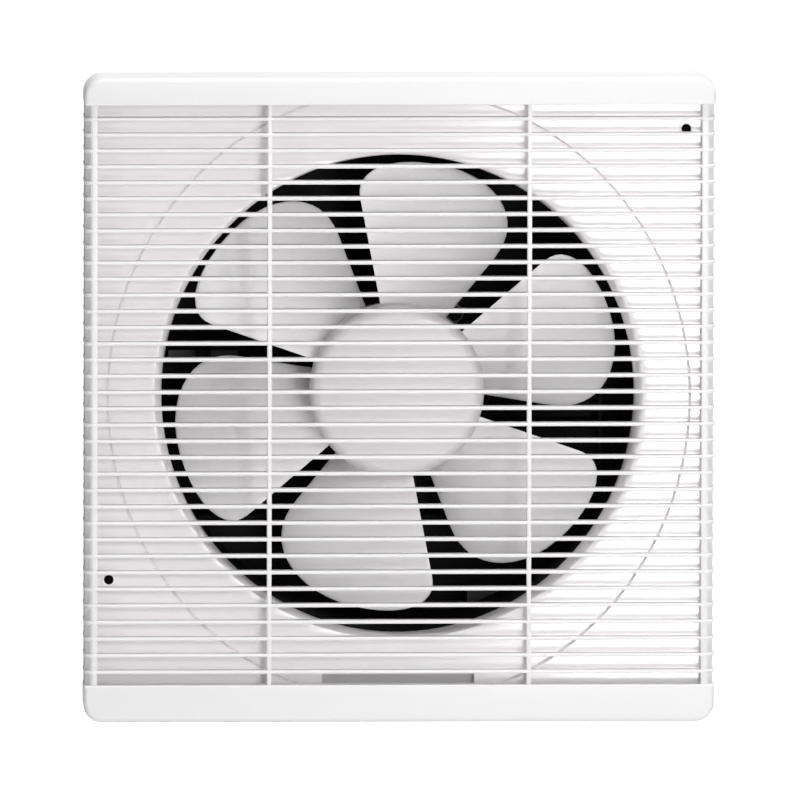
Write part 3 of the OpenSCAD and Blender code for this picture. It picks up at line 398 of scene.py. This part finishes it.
# A cap between the heights zInner and zOuter, on the side that zOuter's sign gives. Its outline p with
# normals n runs from the inside of the face back to the rear edge, forwards along the outside and over
# a rim, p - n * edge * (1 - cos a) at the depth faceY + edge * (1 - sin a)
def capShell(zInner, zOuter, g):
    lowerSteps, upperSteps, rollRows = 3, 10, 7
    sign = math.copysign(1, zOuter)
    w, r, small = g["halfW"], g["corner"], g["lowerCorner"]
    z0, z1 = sign * zInner, sign * zOuter
    inset = w - g["capEndWall"]
    lower = arc(w - small, z0 + small, small, -90, 0, lowerSteps)
    upper = arc(w - r, z1 - r, r, 0, 90, upperSteps)
    half = np.concatenate([[[inset - g["capEndStep"], z0], [inset, z0]], lower, upper])
    turned = [arc(0, 0, 1, -90, 0, lowerSteps), arc(0, 0, 1, 0, 90, upperSteps)]
    normal = np.concatenate([[[0, -1], [0, -1]]] + turned)
    # rim: from 0 along the lower edge to 1 round the outside
    rim = np.concatenate([[0, 0], np.linspace(0.25, 1, len(lower)), np.ones(len(upper))])
    # back: 1 where the wall runs to the rear edge, 0 where it ends at the return's depth
    back = np.concatenate([[0], np.ones(len(half) - 1)])
    mirror = np.array([-1, 1])
    outline = np.concatenate([half, half[::-1] * mirror])
    normals = np.concatenate([normal, normal[::-1] * mirror])
    rim, back = np.concatenate([rim, rim[::-1]]), np.concatenate([back, back[::-1]])
    edge = g["lowerEdge"] + (g["edge"] - g["lowerEdge"]) * rim
    returnY = g["faceY"] + g["returnDepth"]
    rearY = returnY + (g["backY"] - returnY) * back
    outerRows = [np.c_[outline, rearY]]
    for a in np.radians(np.linspace(0, 90, rollRows)):
        inward = edge * (1 - np.cos(a))
        outerRows.append(np.c_[outline - normals * inward[:, None], g["faceY"] + edge * (1 - np.sin(a))])
    innerRear = outline - normals * g["wall"]
    innerRows = [np.c_[innerRear, np.full(len(outline), g["faceY"] + g["wall"])], np.c_[innerRear, rearY]]
    rings = np.stack(innerRows + outerRows)
    points = np.stack([rings[..., 0], rings[..., 2], sign * rings[..., 1]], -1)
    return gridShell(points, capEnds=True)


# All shells of the grille: two caps, the bars, and on each side its ribs, strip, rail and prongs.
# A bar's height is its even place + barLift * (1 - spread^2), with spread from -1 to 1
def buildGrille(g):
    top, foot = g["halfH"] - g["topCap"], -g["halfH"] + g["footCap"]
    ribTop, ribFoot = top + g["ribIntoCap"], foot - g["ribIntoCap"]
    shells = [capShell(top, g["halfH"], g), capShell(foot, -g["halfH"], g)]
    # the spacing grows downwards, as in the photograph
    spread = np.linspace(-1, 1, g["barCount"])
    even = np.linspace(foot + g["lastBar"], top - g["firstBar"], g["barCount"])
    shells += [grilleBar(z, g) for z in even + g["barLift"] * (1 - spread ** 2)]
    ribFront, ribBack = g["barY"] + g["ribFrontIn"], g["barY"] + g["barDepth"] - g["ribBackIn"]
    for side in (-1, 1):
        for x, w in ((g["ribX"], g["ribW"]), (g["sideRibX"], g["sideRibW"])):
            low = (side * x - w / 2, ribFront, ribFoot)
            shells.append(roundedBar(low, (side * x + w / 2, ribBack, ribTop), 2, g["ribRound"]))
        shells.append(cornerStrip(side, ribFoot, ribTop, g))
        railLow, railHigh = sorted((side * (g["halfW"] - g["wall"]), side * (g["halfW"] - g["railIn"])))
        low = (railLow, g["backY"] - g["rail"], foot - g["railIntoCap"])
        shells.append(roundedBar(low, (railHigh, g["backY"], top + g["railIntoCap"]), 2, g["railRound"]))
        for x in (-g["prongX"], g["prongX"]):
            z, w, t = side * g["prongZ"], g["prongW"] / 2, g["prongT"] / 2
            low = (x - w, g["faceY"] + g["prongFrontIn"], z - t)
            shells.append(roundedBar(low, (x + w, g["prongEndY"], z + t), 1, g["prongRound"]))
    return shells


grillePiece = makeMesh("frontGrilleMoulding", buildGrille(grille))
finishPiece(grillePiece, finishes["whiteGrillePlastic"], "grille", ["front_grille"])

panel = {
    "halfW": 169.0, "halfH": 174.0, "corner": 7.5, "faceY": -34.0, "wall": 2.5, "edge": 1.6, "rimY": -0.3,
    "throatR": 130.5, "throatWide": 0.985, "throatTall": 1.006, "lipY": -16.0, "bell": 3.0,
    "flareR": 163.2, "flareWide": 1.025, "flareTall": 0.9655,  # the step line round the bell
    "step": 1.0, "grooveW": 1.6, "grooveFoot": 0.62, "grooveD": 1.1, "ringEdge": 4.0, "innerStepOut": 2.0,
    "bellRows": 25, "innerBellRows": 13, "edgeRows": 6, "faceRows": (0.5, 0.97),
    "wallHoles": [(110, 163), (-110, 163), (110, -163), (-110, -163)],
    "seenHoles": [(156, 146.5), (-157.5, -100)],
    "holeR": 2.6,  # In and Out count from this radius, Start and Sunk from the face
    "postIn": 0.7, "postOut": 2.0, "postStart": 1.2, "postEndY": -3.05,
    "rimIn": 0.05, "rimW": 1.3, "rimH": 0.35, "rimSunk": 0.4,
    # the sleeves: black tubes in the screw holes, painted shade
    "shadeSleeveIn": -0.15, "shadeSleeveOut": 0.72, "shadeSleeveStart": 0.5, "shadeSleeveEndY": -3.1,
    "shadeSleeveEndR": 1.1, "shadeSleeveLip": 0.8,
    "recessW": 83.0, "recessTop": -151.5, "recessH": 13.0, "recessD": 10.0, "recessCorner": 1.2,
    "slotX": 62.0, "slotZ": 168.0, "slotW": 10.8, "slotH": 2.8, "slotCorner": 0.3,
    "cutFront": 2.0, "cutBack": 4.0, "recessCut": 7.4,  # how far the cutters reach from the face
    "panStart": 2.9,
}


# Distance from the centre to a rounded rectangle's edge along each direction: to the flat side, or
# past it to the corner's circle, along + sqrt(along^2 - (centre^2 - radius^2))
def rectReach(direction, halfW, halfH, radius):
    c, s = np.abs(direction[:, 0]), np.abs(direction[:, 1])
    flat = np.minimum(halfW / np.maximum(c, 1e-12), halfH / np.maximum(s, 1e-12))
    cx, cy = halfW - radius, halfH - radius
    along = c * cx + s * cy
    inside = along ** 2 - (cx ** 2 + cy ** 2 - radius ** 2)
    corner = along + np.sqrt(np.maximum(inside, 0))
    hit = (flat * c > cx) & (flat * s > cy)
    return np.where(hit, corner, flat)


# The shell's skin: at each angle round the axis a profile of (radius, y). The bell is a quarter ellipse,
# r = bellR - bell * sin t and y = lipY - depth * cos t. Then come a flat ring, the groove and the step
# up to the face, the rounded edge, the side, and much the same way back along the inside
def panelShell(p):
    cornerAngle = math.degrees(math.atan2(p["halfH"] - p["corner"] / 2, p["halfW"] - p["corner"] / 2))
    cornerAngles = (cornerAngle, 180 - cornerAngle, 180 + cornerAngle, 360 - cornerAngle)
    fine = np.linspace(-3, 3, 25)  # degrees on both sides of a corner
    angles = [np.arange(0, 360, 1.5)] + [corner + fine for corner in cornerAngles]
    angle = np.unique(np.round(np.concatenate(angles), 3))
    direction = np.stack([np.cos(np.radians(angle)), np.sin(np.radians(angle))], -1)
    face, wall, step, bell = p["faceY"], p["wall"], p["step"], p["bell"]
    bellR, bellDepth = p["throatR"] + bell, -(face + step) + p["lipY"]

    def reach(inset):
        return rectReach(direction, p["halfW"] - inset, p["halfH"] - inset, p["corner"] - inset)

    # the throat and the step line are a little taller than wide
    flare = p["flareR"] / np.hypot(direction[:, 0] * p["flareWide"], direction[:, 1] * p["flareTall"])
    oval = np.hypot(direction[:, 0] * p["throatWide"], direction[:, 1] * p["throatTall"])
    oval = p["throatR"] * (oval - 1)
    rows = []
    for t in np.radians(np.linspace(90, 0, p["bellRows"])):
        rows.append((bellR - bell * math.sin(t) + oval * math.sin(t), p["lipY"] - bellDepth * math.cos(t)))
    ringStart, ringEnd = np.full(len(angle), bellR + p["ringEdge"]), flare - p["ringEdge"]
    for r in (ringStart, ringEnd, flare - p["grooveW"]):
        rows.append((r, face + step))
    rows.append((flare - p["grooveW"] * p["grooveFoot"], face + step + p["grooveD"]))
    rows.append((flare, face))
    for share in p["faceRows"]:
        rows.append((flare * (1 - share) + reach(p["edge"]) * share, face))
    for t in np.radians(np.linspace(90, 0, p["edgeRows"])):
        rows.append((reach(p["edge"] * (1 - math.cos(t))), face + p["edge"] * (1 - math.sin(t))))
    rows.append((reach(0), p["rimY"]))
    inner, innerStep = reach(wall), flare + p["innerStepOut"]
    rows.append((inner, p["rimY"]))
    rows.append((inner, face + wall))
    rows.append(((inner + innerStep) / 2, face + wall))
    rows.append((innerStep, face + wall + step))
    for t in np.radians(np.linspace(0, 90, p["innerBellRows"])):
        innerR = bellR - (bell - wall) * math.sin(t) + oval * math.sin(t)
        rows.append((innerR, p["lipY"] - (bellDepth - wall) * math.cos(t)))
    radius = np.stack([r for r, y in rows], 1)
    depth = np.array([y for r, y in rows])
    x, z = radius * direction[:, None, 0], radius * direction[:, None, 1]
    return gridShell(np.stack([x, 0 * radius + depth[None, :], z], -1), closeRows=True)


# A faint raised rim round a screw hole: half an ellipse, r = middle - half * cos t and
# y = face - height * sin t, closed a little below the face
def holeRim(x, z, p):
    t, half = np.radians(np.linspace(0, 180, 7)), p["rimW"] / 2
    innerR, sunkY = p["holeR"] + p["rimIn"], p["faceY"] + p["rimSunk"]
    r = np.concatenate([innerR + half - half * np.cos(t), [innerR + 2 * half, innerR]])
    y = np.concatenate([p["faceY"] - p["rimH"] * np.sin(t), [sunkY, sunkY]])
    return ringAt(x, z, np.c_[r, y], 40)


# The plain tube behind a screw hole
def screwPost(x, z, p):
    innerR, outerR = p["holeR"] + p["postIn"], p["holeR"] + p["postOut"]
    y0, y1 = p["faceY"] + p["postStart"], p["postEndY"]
    return ringAt(x, z, [(innerR, y0), (outerR, y0), (outerR, y1), (innerR, y1)])


# A black sleeve in a screw hole, painted shade: a dark tube standing in for the shade deep in the hole. Its
# narrow rear end makes the hole look dark
def holeShadeSleeve(x, z, p):
    outerR, innerR, endR = p["holeR"] + p["shadeSleeveOut"], p["holeR"] + p["shadeSleeveIn"], p["shadeSleeveEndR"]
    y0, y1 = p["faceY"] + p["shadeSleeveStart"], p["shadeSleeveEndY"]
    lipY = y1 - p["shadeSleeveLip"]
    return ringAt(x, z, [(innerR, y0), (outerR, y0), (outerR, y1), (endR, y1), (endR, lipY), (innerR, lipY)])


# Takes the cutters' shells away from a piece
def cutAway(piece, cutters):
    cutter = makeMesh("panelCutters", cutters)
    cut = piece.modifiers.new("cut", "BOOLEAN")
    cut.operation, cut.solver, cut.object = "DIFFERENCE", "EXACT", cutter
    seen = piece.evaluated_get(bpy.context.evaluated_depsgraph_get())
    result = bpy.data.meshes.new_from_object(seen)
    piece.modifiers.clear()
    piece.data = result
    bpy.data.objects.remove(cutter)


# Prisms for the screw holes, the four prong slots and the recess
def panelCutters(p, recessZ):
    circle = arc(0, 0, 1, 0, 360, 32)[:-1] * p["holeR"]
    slot, _ = roundedOutline(p["slotW"] / 2, p["slotH"] / 2, p["slotCorner"], 2)
    recess, _ = roundedOutline(p["recessW"] / 2, p["recessH"] / 2, p["recessCorner"], 4)
    y0, y1 = p["faceY"] - p["cutFront"], p["faceY"] + p["cutBack"]
    cutters = [prism(circle + np.array(place), y0, y1) for place in p["wallHoles"] + p["seenHoles"]]
    for x in (-p["slotX"], p["slotX"]):
        for z in (-p["slotZ"], p["slotZ"]):
            cutters.append(prism(slot + np.array([x, z]), y0, y1))
    cutters.append(prism(recess + np.array([0, recessZ]), y0, p["faceY"] + p["recessCut"]))
    return cutters


# The recess's pan: side walls and floor as one rounded box, an outline carried from the inner floor
# forwards, outwards and back
def recessPan(p, recessZ):
    t, radius = p["wall"], p["recessCorner"] + p["wall"]
    outer, normals = roundedOutline(p["recessW"] / 2 + t, p["recessH"] / 2 + t, radius, 4)
    inner = outer - normals * t
    floorY, startY = p["faceY"] + p["recessD"], p["faceY"] + p["panStart"]
    rings = [(inner, floorY), (inner, startY), (outer, startY), (outer, floorY + t)]
    points = [np.c_[ring[:, 0], np.full(len(ring), y), ring[:, 1] + recessZ] for ring, y in rings]
    return gridShell(np.stack(points), capEnds=True)


# The panel as three pieces: the cut shell, the black sleeves of painted shade in the holes, and the posts,
# rims and pan
def buildPanel(p):
    recessZ = p["recessTop"] - p["recessH"] / 2
    holes, white = p["wallHoles"] + p["seenHoles"], finishes["whitePanelPlastic"]
    shell = makeMesh("frontPanelShell", [panelShell(p)])
    cutAway(shell, panelCutters(p, recessZ))
    finishPiece(shell, white, "wall_unit", ["front_panel"], 20)
    # black sleeves in the screw holes: painted shade, dark tubes standing in for the shade deep in the holes
    shadeSleeves = makeMesh("panelHoleShadeSleeves", [holeShadeSleeve(x, z, p) for x, z in holes])
    finishPiece(shadeSleeves, finishes["blackRingPlastic"], "wall_unit")
    details = [screwPost(x, z, p) for x, z in holes] + [holeRim(x, z, p) for x, z in p["seenHoles"]]
    details.append(recessPan(p, recessZ))
    finishPiece(makeMesh("frontPanelDetails", details), white, "wall_unit", ())


buildPanel(panel)

blades = {
    "count": 6, "hubR": 47.0, "tipR": 123.4, "rootSink": 1.2,
    "start": -10.8, "span": 49.9,  # degrees clockwise from the top, as seen from the room
    "frontY": 4.0, "depth": 31.0, "camber": 3.0,
    "thick": 2.4, "rootThick": 1.25, "tipThick": 0.8, "thickPower": 0.3, "tipIn": 0.02,
    "leadR": 104.5, "leadRound": 16.0, "leadPower": 2.6,  # where and how the corners round
    "trailR": 83.5, "trailRound": 30.0, "trailPower": 2.35,
    "rootTaper": 3.6, "taperReach": 25.0, "around": 22, "innerRows": 16, "outerRows": 16,
}


# A blade on a closed loop of chord shares u over its front and back skins, for rows of radius r:
# angle = lead + u * (trail - lead), s = (angle - start) / span, and
# y = frontY + depth * s - camber * sin(pi * s) -+ half the thickness.
# The corners round by 1 - (1 - x^power)^(1 / power), where x goes from 0 at leadR or trailR to 1 at tipR
def bladeShell(b, turn):
    def cornerShare(r, first, power):
        x = np.clip((r - first) / (b["tipR"] - first), 0, 1)
        return 1 - np.power(1 - np.power(x, power), 1 / power)

    innerRows = np.linspace(b["hubR"] - b["rootSink"], b["trailR"], b["innerRows"])[:-1]
    outerShare = np.sin(np.radians(np.linspace(0, 90, b["outerRows"])))
    outerRows = b["trailR"] + (b["tipR"] - b["tipIn"] - b["trailR"]) * outerShare
    r = np.concatenate([innerRows, outerRows])[:, None]
    lead = b["start"] + b["leadRound"] * cornerShare(r, b["leadR"], b["leadPower"])
    trail = b["start"] + b["span"] - b["trailRound"] * cornerShare(r, b["trailR"], b["trailPower"])
    u = (1 - np.cos(np.radians(np.linspace(0, 180, b["around"] + 1)))) / 2
    side = np.concatenate([np.ones(len(u)), -np.ones(len(u) - 2)])[None, :]
    u = np.concatenate([u, u[-2:0:-1]])[None, :]
    angle = lead + u * (trail - lead)
    s = (angle - b["start"]) / b["span"]
    taper = b["rootThick"] + (b["tipThick"] - b["rootThick"]) * (r - b["hubR"]) / (b["tipR"] - b["hubR"])
    thick = b["thick"] * taper * np.power(np.clip(4 * u * (1 - u), 0, 1), b["thickPower"])
    y = b["frontY"] + b["depth"] * s - b["camber"] * np.sin(math.pi * s) - side * thick / 2
    # the root follows the drum, which narrows towards its rear
    r = r - b["rootTaper"] * s * np.clip(1 - (r - b["hubR"]) / b["taperReach"], 0, 1)
    a = np.radians(angle + turn)
    return gridShell(np.stack([r * np.sin(a), y, r * np.cos(a)], -1), capEnds=True)


hub = {
    "r": 47.5, "wall": 2.5, "backY": 37.0, "taper": 4.0, "frontRound": 0.5, "backRound": 0.4,
    "webY": -2.6, "web": 3.0, "seatR": 44.6, "seat": 5.0, "slant": 0.3,  # the seat holds the hub cap
    "bossR": 9.0, "bossEnd": 39.0, "shaftR": 4.05,
    "ribs": 6, "rib": 2.0, "ribEnd": 31.0, "ribRound": 0.3,
    "ribIntoBoss": 0.5, "ribIntoWeb": 0.4, "ribIntoDrum": 0.6,
}


# Drum, web and boss as one closed profile of (radius, y), turned about the axis
def hubDrum(h):
    r, w, slant = h["r"], h["wall"], h["slant"]
    front, webBack, seatFront = h["webY"], h["webY"] + h["web"], h["webY"] - h["seat"]
    rear = r - h["taper"]
    profile = [(h["shaftR"], front), (r - 2 * w, front), (r - 2 * w, seatFront),
               (h["seatR"] - slant, seatFront), (h["seatR"], seatFront + slant), (h["seatR"], front)]
    profile += arc(r - h["frontRound"], front + h["frontRound"], h["frontRound"], -90, 0, 3).tolist()
    profile += arc(rear - h["backRound"], h["backY"] - h["backRound"], h["backRound"], 0, 90, 3).tolist()
    profile += [(rear - w, h["backY"]), (r - w - slant, webBack), (h["bossR"], webBack),
                (h["bossR"], h["bossEnd"]), (h["shaftR"], h["bossEnd"])]
    return revolve(profile, 160, closed=True)


# A rib behind the web, from the boss to the drum, turned to its place: x' = x cos a + z sin a,
# z' = z cos a - x sin a
def hubRib(h, angle):
    low = (h["bossR"] - h["ribIntoBoss"], h["webY"] + h["web"] - h["ribIntoWeb"], -h["rib"] / 2)
    high = (h["r"] - h["wall"] - h["taper"] + h["ribIntoDrum"], h["ribEnd"], h["rib"] / 2)
    points, quads, caps = roundedBar(low, high, 1, h["ribRound"])
    x, y, z = points.T
    c, s = math.cos(angle), math.sin(angle)
    return np.stack([x * c + z * s, y, z * c - x * s], -1), quads, caps


impellerShells = [bladeShell(blades, 360 / blades["count"] * k) for k in range(blades["count"])]
impellerShells.append(hubDrum(hub))
impellerShells += [hubRib(hub, 2 * math.pi / hub["ribs"] * k) for k in range(hub["ribs"])]
impellerPiece = makeMesh("impellerMoulding", impellerShells)
finishPiece(impellerPiece, finishes["paleBladePlastic"], "rotor", ["impeller"], 40)

hubCap = {
    "r": 47.4, "frontY": -16.0, "endY": -3.05, "edge": 6.0, "dome": 1.2, "wall": 2.5, "chamfer": 0.3,
    "rollEnd": -88,  # degrees on the round edge's circle, where the dome meets it
}


# Hub cap: a low dome, y = frontY + dome * (x / r)^2, that rolls over a round edge into its side
def hubCapShell(c):
    r, e, w = c["r"], c["edge"], c["wall"]
    x = np.linspace(0, r - e, 14)
    outer = np.c_[x, c["frontY"] + c["dome"] * (x / r) ** 2]
    rimY = outer[-1, 1]
    roll = arc(r - e, rimY + e, e, c["rollEnd"], 0, 14)
    end = [(r, c["endY"] - c["chamfer"]), (r - c["chamfer"], c["endY"]), (r - w, c["endY"])]
    innerRoll = arc(r - e, rimY + e, e - w, 0, c["rollEnd"], 8)
    inner = outer[::-1] + np.array([0, w])
    return revolve(np.concatenate([outer, roll, end, innerRoll, inner]), 192)


capPiece = makeMesh("hubCapShell", [hubCapShell(hubCap)])
finishPiece(capPiece, finishes["paleHubPlastic"], "rotor", ["hub_cap"], 40)

room = {
    "floorZ": -0.45, "floorHalf": 30.0, "floorShades": ((0.84, 0.84, 0.84), (0.88, 0.88, 0.88)),
    "floorRough": 0.8, "glowFrom": 0.4, "glowTo": 2.0,  # metres from the origin
    "glowNear": 0.3, "glowFar": 1.0, "worldLight": 0.06,  # strengths
}


# 1 for rays that show the background, from the camera, off gloss or through glass, and 0 for the rest:
# the three kinds added up and held at 1
def seenRay(tree):
    ray = tree.nodes.new("ShaderNodeLightPath").outputs
    direct = addMath(tree, "ADD", ray["Is Camera Ray"], ray["Is Glossy Ray"], clamp=True)
    return addMath(tree, "ADD", direct, ray["Is Transmission Ray"], clamp=True)


# The floor glows softly away from the fan, for seen rays only, so that it fades into the background.
# The glow is a range of the distance from the origin, times 1 or 0 for the ray
def buildFloor(r):
    s, z = r["floorHalf"], r["floorZ"]
    mesh = bpy.data.meshes.new("floor")
    mesh.from_pydata([(-s, -s, z), (s, -s, z), (s, s, z), (-s, s, z)], [], [(0, 1, 2, 3)])
    floor = bpy.data.objects.new("floor", mesh)
    bpy.context.scene.collection.objects.link(floor)
    material, tree, shader, coords = newMaterial("paleFloor")
    cloud = addNoise(tree, coords, patterns["floorScale"], 2)
    mottle = addRamp(tree, cloud, patterns["blend"], r["floorShades"])
    tree.links.new(mottle, shader.inputs["Base Color"])
    shader.inputs["Roughness"].default_value = r["floorRough"]
    away = tree.nodes.new("ShaderNodeVectorMath")
    away.operation = "LENGTH"
    tree.links.new(coords, away.inputs[0])
    distance = away.outputs["Value"]
    glow = addRange(tree, distance, r["glowNear"], r["glowFar"], r["glowFrom"], r["glowTo"])
    shader.inputs["Emission Color"].default_value = (1, 1, 1, 1)
    tree.links.new(addMath(tree, "MULTIPLY", glow, seenRay(tree)), shader.inputs["Emission Strength"])
    mesh.materials.append(material)


# The world: white where it is seen, and a weak light for everything else
def buildWorld(r):
    world = bpy.data.worlds.new("room")
    bpy.context.scene.world = world
    world.use_nodes = True
    tree = world.node_tree
    background = tree.nodes["Background"]
    background.inputs["Color"].default_value = (1, 1, 1, 1)
    tree.links.new(addRange(tree, seenRay(tree), r["worldLight"], 1.0), background.inputs["Strength"])


lamps = {
    "overheadSoftbox": {"place": (0.3, -0.25, 2.0), "target": (0, 0, 0), "size": (1.5, 0.6), "power": 42},
    "frontSoftbox": {"place": (0.4, -1.75, 0.42), "target": (0.05, 0, 0), "size": (0.6, 0.4), "power": 12.5},
    "glossSoftbox": {"place": (0.24, -1.5, -0.17), "target": (0.12, 0, 0), "size": (0.18, 0.4), "power": 5.0},
    "sideSoftbox": {"place": (1.8, -0.5, 0.3), "target": (0, 0, 0), "size": (0.6, 0.6), "power": 4.5},
    "leftSoftbox": {"place": (-1.4, -1.4, 0.4), "target": (0, 0, 0), "size": (0.6, 0.6), "power": 3.2},
}


# An area lamp at a place, turned to a point. The panel's right half mirrors the gloss lamp
def areaLamp(name, place, target, size, power):
    data = bpy.data.lights.new(name, "AREA")
    data.shape, data.size, data.size_y, data.energy = "RECTANGLE", size[0], size[1], power
    lamp = bpy.data.objects.new(name, data)
    lamp.location = place
    lamp.rotation_mode = "QUATERNION"
    lamp.rotation_quaternion = (lamp.location - Vector(target)).normalized().to_track_quat("Z", "Y")
    lamp.visible_camera = False
    bpy.context.scene.collection.objects.link(lamp)


camera = {
    "azimuth": -2.0, "elevation": 7.4, "roll": 0.13,  # degrees, from the room's side
    "distance": 20.0, "aim": (0.0002, -0.05, 0.0003), "width": 0.43448,  # metres
    "sensor": 36.0, "clip": (0.05, 100),
}


# The long lens flattens the view as in the photograph, and a slight roll levels the edges. The camera
# stands that distance away from its aim, towards (sin a cos e, -cos a cos e, sin e)
def buildCamera(c):
    data = bpy.data.cameras.new("photoCamera")
    data.sensor_width = c["sensor"]
    data.lens = c["sensor"] * c["distance"] / c["width"]
    data.clip_start, data.clip_end = c["clip"]
    view = bpy.data.objects.new("photoCamera", data)
    bpy.context.scene.collection.objects.link(view)
    a, e = math.radians(c["azimuth"]), math.radians(c["elevation"])
    back = Vector((math.sin(a) * math.cos(e), -math.cos(a) * math.cos(e), math.sin(e)))
    view.location = Vector(c["aim"]) + back * c["distance"]
    view.rotation_mode = "QUATERNION"
    roll = Quaternion((0, 0, 1), math.radians(c["roll"]))
    view.rotation_quaternion = back.to_track_quat("Z", "Y") @ roll
    bpy.context.scene.camera = view


buildFloor(room)
buildWorld(room)
for name, values in lamps.items():
    areaLamp(name, **values)
buildCamera(camera)
bpy.context.scene.view_settings.view_transform = "Standard"
print("room, lamps and camera set")
